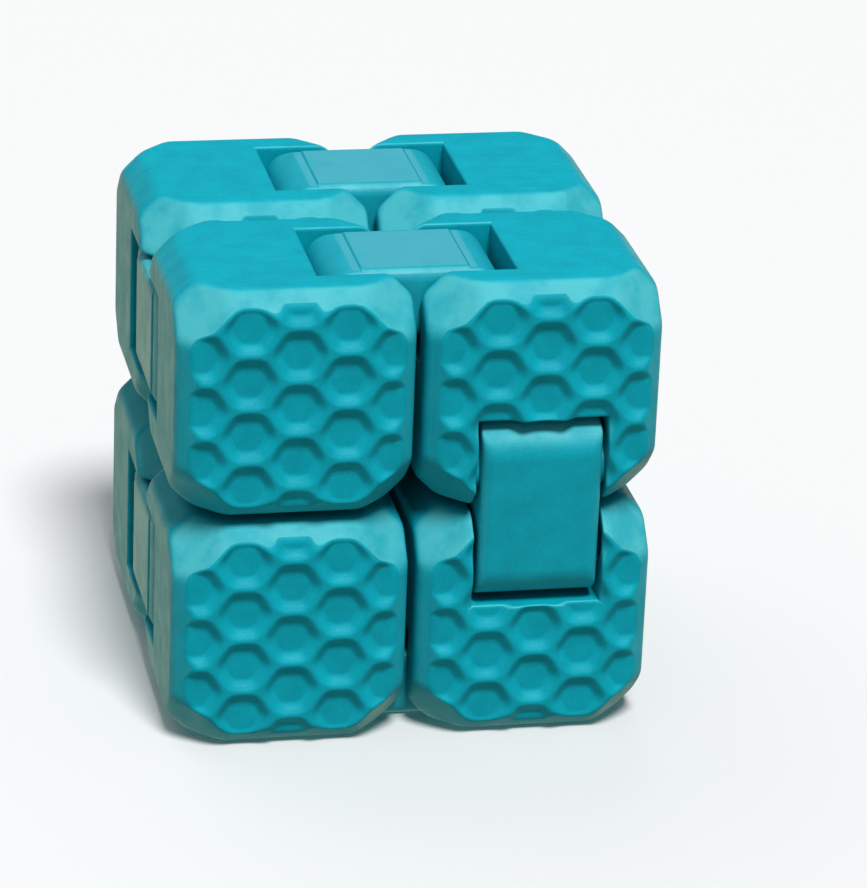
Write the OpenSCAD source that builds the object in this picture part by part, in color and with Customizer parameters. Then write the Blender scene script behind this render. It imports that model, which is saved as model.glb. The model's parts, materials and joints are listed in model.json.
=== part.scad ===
// Folding cube toy: eight bevelled cubelets in a closed ring, printed in place.
// Each neighbouring pair in the ring shares one double-pivot hinge link, so the
// whole block folds open, turns itself inside out and closes again.
// +X is right, +Y is back and +Z is up. The origin is under the middle of the block.

/* [Cubelets] */
// Side of one cubelet
cube_size = 20; // [18:0.5:30]
// Gap between neighbouring cubelets
cube_gap = 0.7; // [0.6:0.05:1]
// Width of the bevel along each cubelet edge, measured on the face
edge_bevel = 1.8; // [1.8:0.1:2.4]
// How far each corner facet cuts into the square corner of a face
corner_cut = 6.1; // [5.7:0.1:7]

/* [Honeycomb faces] */
// Distance between the middles of two honeycomb cells
cell_pitch = 4.7; // [4.5:0.1:5.5]
// Width of the ridge left between two cells
cell_ridge = 1.2; // [0.8:0.1:1.6]
// Depth of a cell
cell_depth = 0.6; // [0.3:0.1:0.9]

/* [Hinge links] */
// Depth of each pivot below the outer face and below the mating face
pivot_depth = 3; // [2.8:0.05:3.1]
// Length of the flat, flush top of a link, between its round ends
link_flat = 9.8; // [8:0.1:10]
// Width of a link, along its pivots
link_w = 10.3; // [8:0.1:10.4]
// Bevel along the long edges of a link
link_bevel = 0.6; // [0.3:0.1:0.8]
// Radius of a hinge pin
pin_r = 1.8; // [1.4:0.1:1.8]
// How far a hinge pin stands out of the side of its link
pin_reach = 1.6; // [1.2:0.1:1.8]

/* [Printing clearances] */
// Gap between each side of a link and its slot
side_clearance = 0.35; // [0.3:0.05:0.5]
// Gap between the round end of a link and the end of its slot
end_clearance = 0.45; // [0.3:0.05:0.6]
// Gap all round a hinge pin
pin_clearance = 0.25; // [0.2:0.05:0.3]

/* [Hidden] */
plastic = [0.08, 0.68, 0.76];
$fn = 64;
half = cube_size / 2;
// From the middle plane of the block to the middle of a cubelet
cube_offset = half + cube_gap / 2;
// From the middle plane of the block to its outer face
reach = cube_size + cube_gap / 2;
// From the middle plane of the block to a pivot
pivot_offset = pivot_depth + cube_gap / 2;
pivot_level = reach - pivot_depth;
slot_r = link_flat / 2 - pivot_offset + pivot_depth + end_clearance;
slot_w = link_w + 2 * side_clearance;
cell_flats = cell_pitch - cell_ridge;
// Columns of cells nest, so they stand closer together than the cells in a column
column_pitch = cell_pitch * cos(30);
// Cells whose middle lies further out than this, along X plus along Z, are left out
cell_limit = 0.7 * cube_size;
// Slope of a corner facet's normal from the vertical
corner_tilt = acos(1 / sqrt(3));
overcut = 1;

// ---- Cubelets ----

module bevelled_square(width, height, bevel) {
    x = width / 2;
    y = height / 2;
    polygon([[x - bevel, y], [bevel - x, y], [-x, y - bevel], [-x, bevel - y],
             [bevel - x, -y], [x - bevel, -y], [x, bevel - y], [x, y - bevel]]);
}

module bevelled_prism() {
    linear_extrude(cube_size, center = true)
        bevelled_square(cube_size, cube_size, edge_bevel);
}

// Four slabs, each of which trims two opposite corners of the cubelet
module corner_slab(turn) {
    thickness = 2 * (3 * half - corner_cut) / sqrt(3);
    rotate([0, corner_tilt, turn])
        cube([2 * cube_size, 2 * cube_size, thickness], center = true);
}

module cubelet_blank() {
    intersection() {
        bevelled_prism();
        rotate([90, 0, 0]) bevelled_prism();
        rotate([0, 90, 0]) bevelled_prism();
        corner_slab(45);
        corner_slab(135);
        corner_slab(225);
        corner_slab(315);
    }
}

// Honeycomb cells sunk into the front face, running out through its bevels
module honeycomb() {
    for (column = [-2:2], row = [-2:2]) {
        x = column * column_pitch;
        z = (row + (column % 2 == 0 ? 0 : 0.5)) * cell_pitch;
        if (abs(x) + abs(z) < cell_limit)
            translate([x, cell_depth - half, z])
                rotate([90, 0, 0])
                    cylinder(h = cell_depth + overcut, r = cell_flats / sqrt(3), $fn = 6);
    }
}

// Blind bearing for one hinge pin, opening at z = 0 and running up
module pin_socket() {
    depth = pin_reach - side_clearance - pin_r / 2 + pin_clearance;
    r = pin_r + pin_clearance;
    translate([0, 0, -overcut]) cylinder(h = overcut + depth, r = r);
    translate([0, 0, depth]) cylinder(h = pin_r / 2, r1 = r, r2 = r - pin_r / 2);
}

// Room for half a link. The mating face is at x = 0 and the outer face at y = 0,
// and the slot turns about the pivot, so the link can swing through a right angle.
module hinge_slot() {
    deep = pivot_depth + slot_r + overcut;
    shallow = pivot_depth + overcut;
    linear_extrude(slot_w, center = true) {
        translate([-overcut, -overcut]) square([deep, shallow]);
        translate([-overcut, -overcut]) square([shallow, deep]);
        translate([pivot_depth, pivot_depth]) circle(slot_r);
    }
    for (side = [0, 1])
        mirror([0, 0, side])
            translate([pivot_depth, pivot_depth, slot_w / 2]) pin_socket();
}

module patterned_blank() {
    difference() {
        cubelet_blank();
        honeycomb();
        mirror([0, 1, 0]) honeycomb();
    }
}

// Top front cubelet of the left pair: slots at the top right and back left edges
module left_cubelet() {
    color(plastic) difference() {
        patterned_blank();
        translate([half, 0, half]) rotate([90, 180, 0]) hinge_slot();
        translate([-half, half, 0]) rotate([0, 0, -90]) hinge_slot();
    }
}

// Top front cubelet of the right pair: slots at the top left and front bottom edges
module right_cubelet() {
    color(plastic) difference() {
        patterned_blank();
        translate([-half, 0, half]) rotate([-90, 0, 0]) hinge_slot();
        translate([0, -half, -half]) rotate([90, 0, 90]) hinge_slot();
    }
}

// Puts a top front cubelet in its corner: back and low are 1 to mirror it there
module in_corner(side, back, low) {
    translate([side * cube_offset, 0, reach])
        mirror([0, back, 0])
            mirror([0, 0, low])
                translate([0, -cube_offset, cube_offset])
                    children();
}

// ---- Hinge links ----

module hinge_pin() {
    straight = pin_reach - pin_r / 2;
    cylinder(h = straight, r = pin_r);
    translate([0, 0, straight]) cylinder(h = pin_r / 2, r1 = pin_r, r2 = pin_r / 2);
}

// Flat face up, pivots along Y at each end. pin_ends lists the ends that have pins.
module link(pin_ends = [-1, 1]) {
    color(plastic) {
        intersection() {
            rotate([90, 0, 0])
                linear_extrude(link_w, center = true) {
                    square([link_flat, 2 * pivot_depth], center = true);
                    for (end = [-1, 1])
                        translate([end * link_flat / 2, 0]) circle(pivot_depth);
                }
            rotate([0, 90, 0])
                linear_extrude(cube_size, center = true)
                    bevelled_square(2 * pivot_depth, link_w, link_bevel);
        }
        for (end = pin_ends, side = [-1, 1])
            translate([end * pivot_offset, side * link_w / 2, 0])
                rotate([-90 * side, 0, 0])
                    hinge_pin();
    }
}

module top_front_left_cube() { in_corner(-1, 0, 0) left_cubelet(); }
module top_front_right_cube() { in_corner(1, 0, 0) right_cubelet(); }
module top_back_left_cube() { in_corner(-1, 1, 0) left_cubelet(); }
module top_back_right_cube() { in_corner(1, 1, 0) right_cubelet(); }
module bottom_front_left_cube() { in_corner(-1, 0, 1) left_cubelet(); }
module bottom_front_right_cube() { in_corner(1, 0, 1) right_cubelet(); }
module bottom_back_left_cube() { in_corner(-1, 1, 1) left_cubelet(); }
module bottom_back_right_cube() { in_corner(1, 1, 1) right_cubelet(); }

module top_front_link() {
    translate([0, -cube_offset, reach + pivot_level]) link();
}

module top_back_link() {
    translate([0, cube_offset, reach + pivot_level]) link();
}

module bottom_front_link() {
    translate([0, -cube_offset, reach - pivot_level]) rotate([180, 0, 0]) link();
}

module bottom_back_link() {
    translate([0, cube_offset, reach - pivot_level]) rotate([180, 0, 0]) link();
}

module left_top_link() {
    translate([-pivot_level, 0, reach + cube_offset]) rotate([-90, 0, 90]) link();
}

module left_bottom_link() {
    translate([-pivot_level, 0, reach - cube_offset]) rotate([-90, 0, 90]) link();
}

// Its lower end only nests in its slot, without pins
module front_right_link() {
    translate([cube_offset, -pivot_level, reach]) rotate([0, -90, 90]) link([1]);
}

module back_right_link() {
    translate([cube_offset, pivot_level, reach]) rotate([0, -90, -90]) link();
}

top_front_left_cube();
top_front_right_cube();
top_back_left_cube();
top_back_right_cube();
bottom_front_left_cube();
bottom_front_right_cube();
bottom_back_left_cube();
bottom_back_right_cube();
top_front_link();
top_back_link();
bottom_front_link();
bottom_back_link();
left_top_link();
left_bottom_link();
front_right_link();
back_right_link();
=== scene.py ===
"""A folding cube toy in turquoise printed plastic: eight cubelets and the eight hinge links of their ring.

Each shape is worked out as a signed distance field in millimetres, cut into a mesh, thinned where it is
flat and placed over its CAD node. The left and right cubelets and the three shapes of link are each made
once and mirrored or turned into place.
"""

import json
import math

import bpy
import numpy as np
from mathutils import Matrix, Vector

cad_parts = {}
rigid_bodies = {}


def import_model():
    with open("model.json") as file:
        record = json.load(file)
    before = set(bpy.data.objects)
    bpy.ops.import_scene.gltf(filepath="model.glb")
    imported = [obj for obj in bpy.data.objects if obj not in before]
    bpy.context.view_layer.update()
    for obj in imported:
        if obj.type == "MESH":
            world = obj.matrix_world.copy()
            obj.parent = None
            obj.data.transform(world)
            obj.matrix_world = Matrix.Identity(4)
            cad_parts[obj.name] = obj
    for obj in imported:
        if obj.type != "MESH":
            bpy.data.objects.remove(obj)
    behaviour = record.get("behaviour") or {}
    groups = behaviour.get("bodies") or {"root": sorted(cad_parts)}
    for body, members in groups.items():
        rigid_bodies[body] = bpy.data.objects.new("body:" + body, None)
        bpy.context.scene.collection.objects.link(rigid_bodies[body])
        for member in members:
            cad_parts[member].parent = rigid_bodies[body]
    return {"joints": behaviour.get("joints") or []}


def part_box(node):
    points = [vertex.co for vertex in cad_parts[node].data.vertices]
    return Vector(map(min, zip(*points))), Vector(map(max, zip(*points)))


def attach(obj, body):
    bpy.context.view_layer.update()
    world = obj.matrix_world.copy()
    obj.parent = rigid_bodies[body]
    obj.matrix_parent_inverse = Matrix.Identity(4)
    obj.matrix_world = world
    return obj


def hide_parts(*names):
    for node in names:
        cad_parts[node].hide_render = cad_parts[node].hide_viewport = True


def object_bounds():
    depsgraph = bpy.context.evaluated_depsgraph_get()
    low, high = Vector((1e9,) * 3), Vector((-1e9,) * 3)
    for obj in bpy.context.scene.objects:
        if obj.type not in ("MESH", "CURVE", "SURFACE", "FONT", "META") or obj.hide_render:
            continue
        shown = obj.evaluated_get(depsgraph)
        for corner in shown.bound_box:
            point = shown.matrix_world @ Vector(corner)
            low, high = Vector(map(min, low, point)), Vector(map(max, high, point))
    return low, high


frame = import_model()
CAD_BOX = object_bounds()

# ---- Sizes, in millimetres, from the frame where it has them ----

MM = 0.001
JOINTS = {j["name"]: j for j in frame["joints"]}


def node_box(name):
    low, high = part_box(name)
    return np.array(low) / MM, np.array(high) / MM


CUBE_LOW, CUBE_HIGH = node_box("top_front_left_cube")
CUBE = CUBE_HIGH[0] - CUBE_LOW[0]
HALF = CUBE / 2
# From the middle plane of the block to a link's pivot, and from a pivot to the nearest outer face
PIVOT_OFFSET = JOINTS["top_lid_fold"]["pos_m"][0] / MM
PIVOT_DEPTH = CUBE_HIGH[2] - JOINTS["top_lid_fold"]["pos_m"][2] / MM
LINK_LOW, LINK_HIGH = node_box("top_front_link")
# Sizes below that are plain numbers are the CAD's own, or belong to the looks alone
PIN_REACH = 1.6
LINK_W = LINK_HIGH[1] - LINK_LOW[1] - 2 * PIN_REACH
# The flat of a link, between round ends with the radius of the pivots' depth
LINK_FLAT = LINK_HIGH[0] - LINK_LOW[0] - 2 * PIVOT_DEPTH
LINK_BEVEL = 0.6
# The links of the lids and the book fold have a plate on their outer side, proud of their round shoulders
PLATE_INSET = 0.3
PLATE_LENGTH = LINK_FLAT - 2 * PLATE_INSET
PLATE_STEP = 0.16
END_CLEARANCE = 0.45
SIDE_CLEARANCE = 0.35
PIN_CLEARANCE = 0.25
SLOT_R = LINK_FLAT / 2 - PIVOT_OFFSET + PIVOT_DEPTH + END_CLEARANCE
SLOT_W = LINK_W + 2 * SIDE_CLEARANCE
PIN_R = 1.8
SOCKET_R = PIN_R + PIN_CLEARANCE
# Depth of a socket's straight stretch, before its cone
SOCKET_DEPTH = 0.6
EDGE_BEVEL = 1.8
CORNER_CUT = 6.1

CELL_PITCH = 4.7
CELL_DEPTH = 0.6
# Width of the sloping wall between the ridge and the floor of a cell
CELL_WALL = 1.1
# The higher this power, the sharper the corners of a cell
CELL_POWER = 8
CELL_LIMIT = 0.7 * CUBE
COLUMN_PITCH = CELL_PITCH * math.cos(math.radians(30))

# How near two surfaces come before the edge between them is rounded off
EDGE_SOFTNESS = 0.5
CELL_EDGE_SOFTNESS = 0.3
SLOT_EDGE_SOFTNESS = 0.3
LINK_EDGE_SOFTNESS = 0.35
# Further than any distance within a piece
FAR = 1e3
# Keeps a length that is divided by off zero
TINY = 1e-9
# Spacing of the grid that a field is sampled on
GRID = 0.16
# Triangles left in each mesh after thinning
CUBE_FACES = 56000
LINK_FACES = 9000


# ---- Distance fields: negative inside, in millimetres ----


def soft_max(a, b, softness):
    """The larger of two distances, with the edge between them rounded off."""
    near = np.maximum(softness - np.abs(a - b), 0) / softness
    return np.maximum(a, b) + near * near * softness / 4


def ramp(t):
    t = np.clip(t, 0, 1)
    return t * t * (3 - 2 * t)


def cell_middles():
    middles = []
    for column in range(-2, 3):
        for row in range(-2, 3):
            x = column * COLUMN_PITCH
            z = (row + 0.5 * (column % 2)) * CELL_PITCH
            if abs(x) + abs(z) < CELL_LIMIT:
                middles.append((x, z))
    return middles


def cell_sink(x, z):
    """How far the honeycomb sinks the front and back faces at a point."""
    nearest = np.full(np.broadcast(x, z).shape, FAR)
    for mx, mz in cell_middles():
        across, up = (x - mx) * math.cos(math.radians(30)), z - mz
        sides = (up, across + up / 2, across - up / 2)
        out = sum(np.abs(side) ** CELL_POWER for side in sides) ** (1 / CELL_POWER)
        nearest = np.minimum(nearest, out)
    return CELL_DEPTH * ramp((CELL_PITCH / 2 - nearest) / CELL_WALL)


def blank(x, y, z):
    """A bevelled cubelet round the origin, with its honeycomb."""
    ax, ay, az = np.abs(x), np.abs(y), np.abs(z)
    root2, root3 = math.sqrt(2), math.sqrt(3)
    d = soft_max(ax - HALF, az - HALF, EDGE_SOFTNESS)
    for a, b in ((ax, az), (ax, ay), (ay, az)):
        d = soft_max(d, (a + b - CUBE + EDGE_BEVEL) / root2, EDGE_SOFTNESS)
    d = soft_max(d, (ax + ay + az - 3 * HALF + CORNER_CUT) / root3, EDGE_SOFTNESS)
    return soft_max(d, ay - HALF + cell_sink(x, z), CELL_EDGE_SOFTNESS)


def slot(u, v, w):
    """The room for half a link: u runs in from the mating face, v from the outer face, w along the pivot."""
    reach = np.hypot(np.maximum(u - PIVOT_DEPTH, 0), np.maximum(v - PIVOT_DEPTH, 0))
    room = np.maximum(reach - SLOT_R, np.abs(w) - SLOT_W / 2)
    turn = np.hypot(u - PIVOT_DEPTH, v - PIVOT_DEPTH)
    depth = np.abs(w) - SLOT_W / 2 - SOCKET_DEPTH
    cone = (turn - SOCKET_R + depth) / math.sqrt(2)
    socket = np.maximum(np.maximum(turn - SOCKET_R, depth - PIN_R / 2), cone)
    return np.minimum(room, socket)


def left_cubelet(x, y, z):
    d = soft_max(blank(x, y, z), -slot(HALF - x, HALF - z, y), SLOT_EDGE_SOFTNESS)
    return soft_max(d, -slot(HALF - y, x + HALF, z), SLOT_EDGE_SOFTNESS)


def right_cubelet(x, y, z):
    d = soft_max(blank(x, y, z), -slot(x + HALF, HALF - z, y), SLOT_EDGE_SOFTNESS)
    return soft_max(d, -slot(z + HALF, y + HALF, x), SLOT_EDGE_SOFTNESS)


def link_body(x, y, z, plated):
    """A link round the middle of its two pivots, its flat face up."""
    profile = np.hypot(np.maximum(np.abs(x) - LINK_FLAT / 2, 0), z) - PIVOT_DEPTH
    if plated:
        plate = soft_max(np.abs(x) - PLATE_LENGTH / 2, z - PIVOT_DEPTH, PLATE_STEP)
        profile = np.minimum(profile + PLATE_STEP, np.maximum(plate, -z))
    sides = np.abs(y) - LINK_W / 2
    bevel = (np.abs(y) + np.abs(z) - LINK_W / 2 - PIVOT_DEPTH + LINK_BEVEL) / math.sqrt(2)
    return soft_max(soft_max(profile, sides, LINK_EDGE_SOFTNESS), bevel, LINK_EDGE_SOFTNESS)


def pins(x, y, z, ends):
    """The pins of a link at the ends listed, -1 and 1 along X."""
    d = np.full(np.broadcast(x, y, z).shape, FAR)
    for end in ends:
        turn = np.hypot(x - end * PIVOT_OFFSET, z)
        tip = np.abs(y) - LINK_W / 2 - PIN_REACH
        cone = (turn + np.abs(y) - LINK_W / 2 - PIN_REACH - PIN_R / 2) / math.sqrt(2)
        d = np.minimum(d, np.maximum(np.maximum(turn - PIN_R, tip), cone))
    return d


def plated_link(x, y, z):
    return np.minimum(link_body(x, y, z, True), pins(x, y, z, (-1, 1)))


def plain_link(x, y, z):
    return np.minimum(link_body(x, y, z, False), pins(x, y, z, (-1, 1)))


def open_link(x, y, z):
    return np.minimum(link_body(x, y, z, False), pins(x, y, z, (1,)))


# ---- From a distance field to a mesh ----


def slopes(field, points):
    """The field and its gradient at each point."""
    step = 0.01
    gradient = np.empty_like(points)
    for axis in range(3):
        shift = np.zeros(3)
        shift[axis] = step
        ahead, behind = points + shift, points - shift
        gradient[:, axis] = (field(*ahead.T) - field(*behind.T)) / (2 * step)
    return field(*points.T), gradient


def surface(field, half_size):
    """Points and quads on the surface of a field, by the surface nets method."""
    # The grid reaches past the shape on every side
    axes = [np.arange(-h - 1.5 * GRID, h + 2.5 * GRID, GRID) for h in half_size]
    x, y, z = (a.reshape(s) for a, s in zip(axes, ((-1, 1, 1), (1, -1, 1), (1, 1, -1))))
    values = np.broadcast_to(field(x, y, z), [len(a) for a in axes]).astype(np.float32)
    inside = values < 0
    cells = tuple(n - 1 for n in values.shape)
    total = np.zeros(cells + (3,), np.float32)
    count = np.zeros(cells, np.float32)
    for axis in range(3):
        others = [a for a in range(3) if a != axis]
        for du in (0, 1):
            for dv in (0, 1):
                start, end = [0, 0, 0], [0, 0, 0]
                start[others[0]], start[others[1]] = du, dv
                end[others[0]], end[others[1]] = du, dv
                end[axis] = 1
                here = tuple(slice(o, o + n) for o, n in zip(start, cells))
                there = tuple(slice(o, o + n) for o, n in zip(end, cells))
                crossed = inside[here] != inside[there]
                a, b = values[here][crossed], values[there][crossed]
                place = np.tile(np.array(start, np.float32), (len(a), 1))
                place[:, axis] = a / (a - b)
                total[crossed] += place
                count[crossed] += 1
    used = count > 0
    number = np.full(cells, -1, np.int64)
    number[used] = np.arange(used.sum())
    corner = np.argwhere(used)
    origin = np.array([a[0] for a in axes])
    points = origin + GRID * (corner + total[used] / count[used][:, None])
    quads = []
    for axis in range(3):
        u, v = (axis + 1) % 3, (axis + 2) % 3
        low = [slice(1, n) for n in cells]
        low[axis] = slice(0, cells[axis])
        high = list(low)
        high[axis] = slice(1, cells[axis] + 1)
        first, second = inside[tuple(low)], inside[tuple(high)]
        for solid_first in (True, False):
            at = np.argwhere(first & ~second if solid_first else second & ~first)
            at[:, u] += 1
            at[:, v] += 1
            steps = ((1, 1), (0, 1), (0, 0), (1, 0))
            if not solid_first:
                steps = steps[::-1]
            ring = []
            for su, sv in steps:
                cell = at.copy()
                cell[:, u] -= su
                cell[:, v] -= sv
                ring.append(number[tuple(cell.T)])
            quads.append(np.stack(ring, axis=1))
    return settle(field, points), np.concatenate(quads)


def settle(field, points):
    """Moves points onto the surface of a field, in three moves of half a grid step at most."""
    least_steepness = 0.05
    for _ in range(3):
        value, gradient = slopes(field, points)
        push = (value / np.maximum((gradient**2).sum(1), least_steepness))[:, None] * gradient
        length = np.linalg.norm(push, axis=1, keepdims=True)
        points = points - push * np.minimum(1, 0.5 * GRID / np.maximum(length, TINY))
    return points


def read_mesh(mesh):
    points = np.empty(len(mesh.vertices) * 3)
    mesh.vertices.foreach_get("co", points)
    mesh.calc_loop_triangles()
    faces = np.empty(len(mesh.loop_triangles) * 3, np.int32)
    mesh.loop_triangles.foreach_get("vertices", faces)
    return points.reshape(-1, 3), faces.reshape(-1, 3)


def make_mesh(name, points, faces):
    mesh = bpy.data.meshes.new(name)
    mesh.from_pydata(points.tolist(), [], faces.tolist())
    mesh.update()
    return mesh


def thinned(name, points, faces, target):
    """The same surface with few faces where it is flat."""
    obj = bpy.data.objects.new(name, make_mesh(name, points, faces))
    bpy.context.scene.collection.objects.link(obj)
    thin = obj.modifiers.new("thin", "DECIMATE")
    thin.ratio = min(1, target / (2 * len(faces)))
    thin.use_collapse_triangulate = True
    graph = bpy.context.evaluated_depsgraph_get()
    points, faces = read_mesh(obj.evaluated_get(graph).to_mesh())
    bpy.data.objects.remove(obj)
    return points, faces


def shape(name, field, half_size, target):
    """Points, triangles and exact normals of a field's surface."""
    points, faces = thinned(name, *surface(field, half_size), target)
    points = settle(field, points)
    normals = slopes(field, points)[1]
    normals /= np.maximum(np.linalg.norm(normals, axis=1, keepdims=True), TINY)
    return points, faces, normals


# ---- Material ----

PLASTIC = (0.0, 0.36, 0.43)
# A paler colour painted on the bevels as a highlight, most where they face up
PAINTED_HIGHLIGHT = (0.075, 0.5, 0.53)
RUBBED = (0.055, 0.4, 0.465)
# The plastic's colour is multiplied by these where its tone is darkest and lightest
DARKEST = 0.88
LIGHTEST = 1.12
TONE_RANGE = (0.3, 0.7)
LAYER = 0.2 * MM
STROKE = 0.42 * MM
# Streaks per metre across the layers and along them
STREAKS = 2500
STREAK_LENGTHS = 120
# Features per metre of the other patterns
BLOTS = 300
MOTTLE = 450
LUMPS = 1300
GRAIN = 5000
# What Blender's wave texture multiplies its scale by
WAVE_RATE = 20
# Heights next to that of the ribs, and the height that all of them share
LUMP_HEIGHT = 3.5
STREAK_HEIGHT = 0.6
BUMP_HEIGHT = 0.02 * MM
BUMP_STRENGTH = 0.2


class NodeMaker:
    """Short calls that add nodes to the node tree of a material or the world."""

    def __init__(self, owner):
        owner.use_nodes = True
        self.nodes = owner.node_tree.nodes
        self.links = owner.node_tree.links
        self.place = self.nodes.new("ShaderNodeTexCoord")

    def link(self, value, socket):
        if isinstance(value, bpy.types.NodeSocket):
            self.links.new(value, socket)
        else:
            socket.default_value = value

    def math(self, operation, *values):
        node = self.nodes.new("ShaderNodeMath")
        node.operation = operation
        for value, socket in zip(values, node.inputs):
            self.link(value, socket)
        return node.outputs[0]

    def ranged(self, value, low, high, to_low=0.0, to_high=1.0):
        """The value between low and high, smoothly taken to the new range."""
        node = self.nodes.new("ShaderNodeMapRange")
        node.interpolation_type = "SMOOTHSTEP"
        for number, socket in zip((value, low, high, to_low, to_high), node.inputs):
            self.link(number, socket)
        return node.outputs[0]

    def stretched(self, scale):
        """Object coordinates, times a scale for each axis."""
        node = self.nodes.new("ShaderNodeMapping")
        node.inputs["Scale"].default_value = scale
        self.links.new(self.place.outputs["Object"], node.inputs["Vector"])
        return node.outputs[0]

    def noise(self, scale, detail, roughness=0.5):
        """Noise with this many features per metre along each axis."""
        node = self.nodes.new("ShaderNodeTexNoise")
        self.links.new(self.stretched(scale), node.inputs["Vector"])
        node.inputs["Scale"].default_value = 1
        node.inputs["Detail"].default_value = detail
        node.inputs["Roughness"].default_value = roughness
        return node.outputs["Fac"]

    def ribs(self, axis, period):
        """Rounded ribs, stacked along an axis."""
        node = self.nodes.new("ShaderNodeTexWave")
        node.bands_direction = axis
        self.links.new(self.place.outputs["Object"], node.inputs["Vector"])
        node.inputs["Scale"].default_value = 2 * math.pi / (WAVE_RATE * period)
        node.inputs["Distortion"].default_value = 0.8
        node.inputs["Detail"].default_value = 2
        node.inputs["Detail Scale"].default_value = 0.4
        return node.outputs["Fac"]

    def axes(self, vector):
        node = self.nodes.new("ShaderNodeSeparateXYZ")
        self.links.new(vector, node.inputs[0])
        return node.outputs

    def mix(self, share, a, b):
        node = self.nodes.new("ShaderNodeMix")
        node.data_type = "RGBA"
        self.link(share, node.inputs["Factor"])
        self.link(a, node.inputs[6])
        self.link(b, node.inputs[7])
        return node.outputs[2]


def printed_plastic(name, stacked, strokes, shine, highlight_fade=(0.73, 0.8), rubbed_lid=False):
    """Satin plastic printed in layers stacked along one axis.

    The faces that cap the layers have strokes, ribs that are stacked along the other axis named. Its bevels
    carry a painted highlight, a paler colour that is strongest where they face up at rest and whose strength
    varies at random. It fades as the normal's share along the layers' axis goes through highlight_fade. A
    rubbed lid is paler on its level faces.
    """
    material = bpy.data.materials.new(name)
    look = NodeMaker(material)
    shader = look.nodes["Principled BSDF"]
    axis = "XYZ".index(stacked)
    streak_scale = [STREAK_LENGTHS] * 3
    streak_scale[axis] = STREAKS
    streaks = look.noise(streak_scale, 3, 0.6)
    mottle = look.noise([MOTTLE] * 3, 3)
    grain = look.noise([GRAIN] * 3, 2)
    lumps = look.noise([LUMPS] * 3, 2)
    blots = look.noise([BLOTS] * 3, 5, 0.6)
    normal = look.axes(look.place.outputs["Normal"])
    facing = look.math("ABSOLUTE", normal[axis])
    cap = look.ranged(facing, 0.85, 0.97)
    slope = look.ranged(facing, *highlight_fade, 1.0, 0.0)
    slope = look.math("MULTIPLY", slope, look.ranged(facing, 0.2, 0.55))
    # Painted highlight on the bevels: strongest where they face up at rest, its strength varied at random by
    # blots
    painted_highlight_mask = look.math("MULTIPLY", slope, look.ranged(normal[2], 0.1, 0.5, 0.2, 1.0))
    painted_highlight_mask = look.math("MULTIPLY", painted_highlight_mask, look.ranged(blots, 0.35, 0.6, 0.45, 1.0))

    tone = look.math("ADD", look.math("MULTIPLY", streaks, 0.25), look.math("MULTIPLY", mottle, 0.45))
    tone = look.math("ADD", tone, look.math("MULTIPLY", grain, 0.3))
    dark = tuple(DARKEST * c for c in PLASTIC) + (1,)
    light = tuple(LIGHTEST * c for c in PLASTIC) + (1,)
    body = look.mix(look.ranged(tone, *TONE_RANGE), dark, light)
    if rubbed_lid:
        level = look.ranged(look.math("ABSOLUTE", normal[2]), 0.985, 0.999)
        rubbed = look.math("MULTIPLY", level, look.ranged(blots, 0.2, 0.5, 0.6, 1.0))
        body = look.mix(rubbed, body, RUBBED + (1,))
    look.links.new(look.mix(painted_highlight_mask, body, PAINTED_HIGHLIGHT + (1,)), shader.inputs["Base Color"])

    look.links.new(look.ranged(tone, *TONE_RANGE, 0.65, 0.5), shader.inputs["Roughness"])
    shader.inputs["Specular IOR Level"].default_value = shine

    ribs = look.mix(cap, look.ribs(stacked, LAYER), look.ribs(strokes, STROKE))
    height = look.math("ADD", ribs, look.math("MULTIPLY", streaks, STREAK_HEIGHT))
    height = look.math("ADD", height, look.math("MULTIPLY", lumps, LUMP_HEIGHT))
    bump = look.nodes.new("ShaderNodeBump")
    bump.inputs["Strength"].default_value = BUMP_STRENGTH
    bump.inputs["Distance"].default_value = BUMP_HEIGHT
    look.links.new(height, bump.inputs["Height"])
    look.links.new(bump.outputs[0], shader.inputs["Normal"])
    return material


# ---- Pieces ----

CUBELETS = {
    f"{level}_{depth}_{side}_cube": (side, depth, level)
    for level in ("top", "bottom")
    for depth in ("front", "back")
    for side in ("left", "right")
}
# Each link's fold, its shape, and its turns about X, Y and Z from lying along X on top of the block
LINKS = {
    "top_front_link": ("lid", "plated", (0, 0, 0)),
    "top_back_link": ("lid", "plated", (0, 0, 0)),
    "bottom_front_link": ("lid", "plated", (180, 0, 0)),
    "bottom_back_link": ("lid", "plated", (180, 0, 0)),
    "left_top_link": ("book", "plated", (-90, 0, 90)),
    "left_bottom_link": ("book", "plated", (-90, 0, 90)),
    "front_right_link": ("row", "open", (0, -90, 90)),
    "back_right_link": ("row", "plain", (0, -90, -90)),
}


def add_piece(node, points, faces, normals, material):
    obj = bpy.data.objects.new(node + "_print", make_mesh(node + "_print", points * MM, faces))
    bpy.context.scene.collection.objects.link(obj)
    mesh = obj.data
    mesh.shade_smooth()
    mesh.normals_split_custom_set_from_vertices(normals.tolist())
    mesh.materials.append(material)
    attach(obj, node)
    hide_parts(node)


def add_cubelet(node, shapes, material):
    side, depth, level = CUBELETS[node]
    points, faces, normals = shapes[side]
    flip = np.array([1, -1 if depth == "back" else 1, -1 if level == "bottom" else 1])
    if flip.prod() < 0:
        faces = faces[:, ::-1]
    low, high = node_box(node)
    add_piece(node, points * flip + (low + high) / 2, faces, normals * flip, material)


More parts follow.
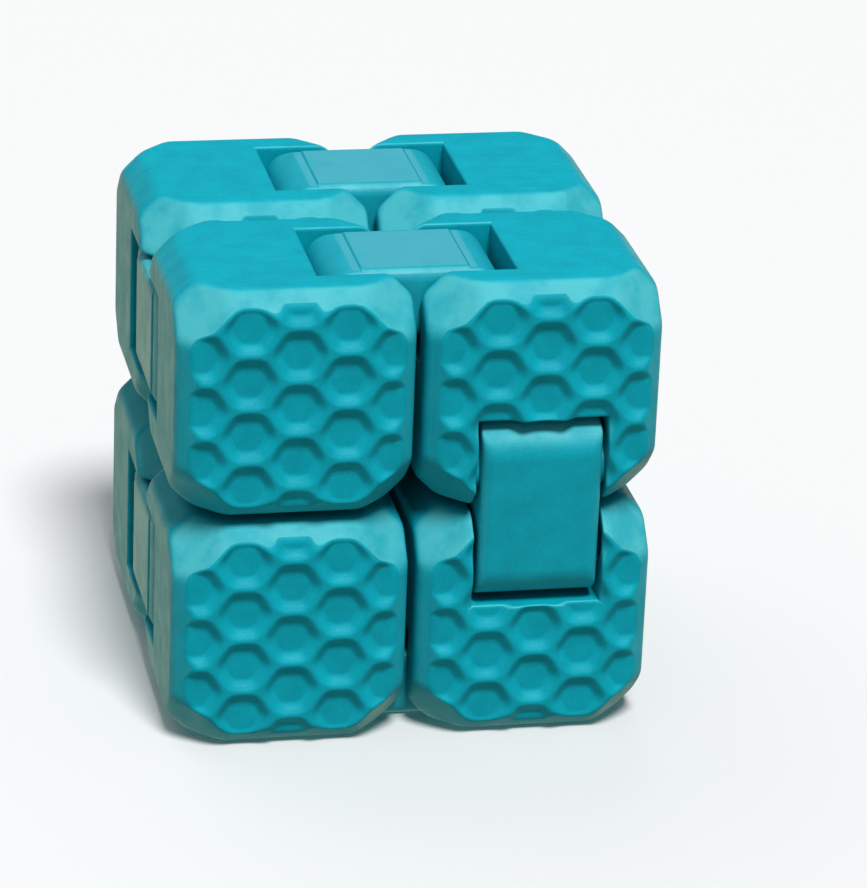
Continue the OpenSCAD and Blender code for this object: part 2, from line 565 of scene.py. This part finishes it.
def add_link(node, shapes, materials):
    fold, shape_name, angles = LINKS[node]
    points, faces, normals = shapes[shape_name]
    turn = np.eye(3)
    for angle, axis in zip(angles, "XYZ"):
        turn = np.array(Matrix.Rotation(math.radians(angle), 3, axis)) @ turn
    pivots = [np.array(j["pos_m"]) / MM for j in frame["joints"] if node in (j["parent"], j["child"])]
    middle = sum(pivots) / len(pivots)
    # The open end of the ring has no joint, so its link hangs from its one pivot
    if len(pivots) == 1:
        middle = middle - turn @ np.array([1, 0, 0]) * PIVOT_OFFSET
    add_piece(node, points @ turn.T + middle, faces, normals @ turn.T, materials[fold])


def build_object():
    cube_half = (HALF, HALF, HALF)
    link_half = (LINK_FLAT / 2 + PIVOT_DEPTH, LINK_W / 2 + PIN_REACH, PIVOT_DEPTH)
    cubelets = {
        "left": shape("left", left_cubelet, cube_half, CUBE_FACES),
        "right": shape("right", right_cubelet, cube_half, CUBE_FACES),
    }
    link_shapes = {
        "plated": shape("plated", plated_link, link_half, LINK_FACES),
        "plain": shape("plain", plain_link, link_half, LINK_FACES),
        "open": shape("open", open_link, link_half, LINK_FACES),
    }
    cubelet_plastic = printed_plastic("cubelet_plastic", "Y", "X", shine=0.15)
    link_plastic = {
        "lid": printed_plastic("lid_link_plastic", "Y", "X", shine=0.4, rubbed_lid=True),
        "row": printed_plastic("row_link_plastic", "Y", "X", shine=0.2, highlight_fade=(0.75, 1.0)),
        # Layered as if the block had been printed opened like a book
        "book": printed_plastic("book_link_plastic", "X", "Y", shine=0.33),
    }
    for node in CUBELETS:
        add_cubelet(node, cubelets, cubelet_plastic)
    for node in LINKS:
        add_link(node, link_shapes, link_plastic)


# ---- Room, lights and camera ----

FLOOR = (0.83, 0.8, 0.745, 1)
FLOOR_REACH = 3.0
BACKDROP = (0.85, 0.85, 0.85, 1)
LAMP = (0.96, 1.0, 1.07)
# What lights the block from below and above, and what its gloss reflects there instead
TABLE = (0.34, 0.34, 0.32, 1)
REFLECTED_TABLE = (1.9, 1.5, 0.88, 1)
SKY = (0.21, 0.225, 0.25, 1)
REFLECTED_SKY = (0.04, 0.045, 0.05, 1)


def add_floor():
    mesh = bpy.data.meshes.new("floor")
    corners = [(FLOOR_REACH * x, FLOOR_REACH * y, 0) for x, y in ((-1, -1), (1, -1), (1, 1), (-1, 1))]
    mesh.from_pydata(corners, [], [(0, 1, 2, 3)])
    floor = bpy.data.objects.new("floor", mesh)
    bpy.context.scene.collection.objects.link(floor)
    material = bpy.data.materials.new("floor")
    material.use_nodes = True
    shader = material.node_tree.nodes["Principled BSDF"]
    shader.inputs["Base Color"].default_value = FLOOR
    shader.inputs["Roughness"].default_value = 0.8
    mesh.materials.append(material)
    # Only the camera sees it, so the light from below is the world's
    floor.visible_diffuse = False
    floor.visible_glossy = False
    floor.visible_shadow = False


def add_sun(name, azimuth, elevation, strength, spread, glossy):
    """A distant soft lamp. Azimuth 0 shines from the front and 90 from the right."""
    data = bpy.data.lights.new(name, "SUN")
    data.energy = strength
    data.angle = math.radians(spread)
    data.color = LAMP
    lamp = bpy.data.objects.new(name, data)
    lamp.rotation_euler = (math.radians(90 - elevation), 0, math.radians(azimuth))
    lamp.visible_glossy = glossy
    bpy.context.scene.collection.objects.link(lamp)


def add_camera(middle):
    """A long lens from a little left of the front, tipped down at the block."""
    angles = (-11.24, 22.57, 2.03, -0.74, -0.22)
    azimuth, elevation, roll, pan, tilt = (math.radians(angle) for angle in angles)
    distance = 0.3953
    back = Vector((
        math.sin(azimuth) * math.cos(elevation),
        -math.cos(azimuth) * math.cos(elevation),
        math.sin(elevation),
    ))
    right = Vector((math.cos(azimuth), math.sin(azimuth), 0))
    up = back.cross(right)
    data = bpy.data.cameras.new("camera")
    data.lens = 184.6
    data.sensor_width = 36
    data.clip_start, data.clip_end = 0.01, 20
    camera = bpy.data.objects.new("camera", data)
    turn = Matrix((right, up, back)).transposed().to_4x4() @ Matrix.Rotation(roll, 4, "Z")
    aim = Matrix.Rotation(pan, 4, "Y") @ Matrix.Rotation(tilt, 4, "X")
    camera.matrix_world = Matrix.Translation(middle + back * distance) @ turn @ aim
    bpy.context.scene.collection.objects.link(camera)
    bpy.context.scene.camera = camera


def add_world():
    """Soft light from a cool sky and a dim table.

    Reflections see the sky dark and the table bright towards the back.
    """
    world = bpy.data.worlds.new("world")
    bpy.context.scene.world = world
    light = NodeMaker(world)
    _, back, up = light.axes(light.place.outputs["Generated"])
    path = light.nodes.new("ShaderNodeLightPath").outputs
    reflected = light.math("MULTIPLY", light.ranged(back, -0.2, 0.8), path["Is Glossy Ray"])
    ground = light.mix(reflected, TABLE, REFLECTED_TABLE)
    sky = light.mix(path["Is Glossy Ray"], SKY, REFLECTED_SKY)
    around = light.mix(light.ranged(up, -0.05, 0.05), ground, sky)
    background = light.nodes["Background"]
    seen = light.mix(path["Is Camera Ray"], around, BACKDROP)
    light.links.new(seen, background.inputs["Color"])


MIDDLE = (CAD_BOX[0] + CAD_BOX[1]) / 2
build_object()
add_floor()
add_world()
add_sun("key", azimuth=8, elevation=62, strength=3.15, spread=16, glossy=True)
add_sun("fill", azimuth=200, elevation=45, strength=0.55, spread=60, glossy=False)
add_camera(MIDDLE)
bpy.context.scene.view_settings.view_transform = "Standard"
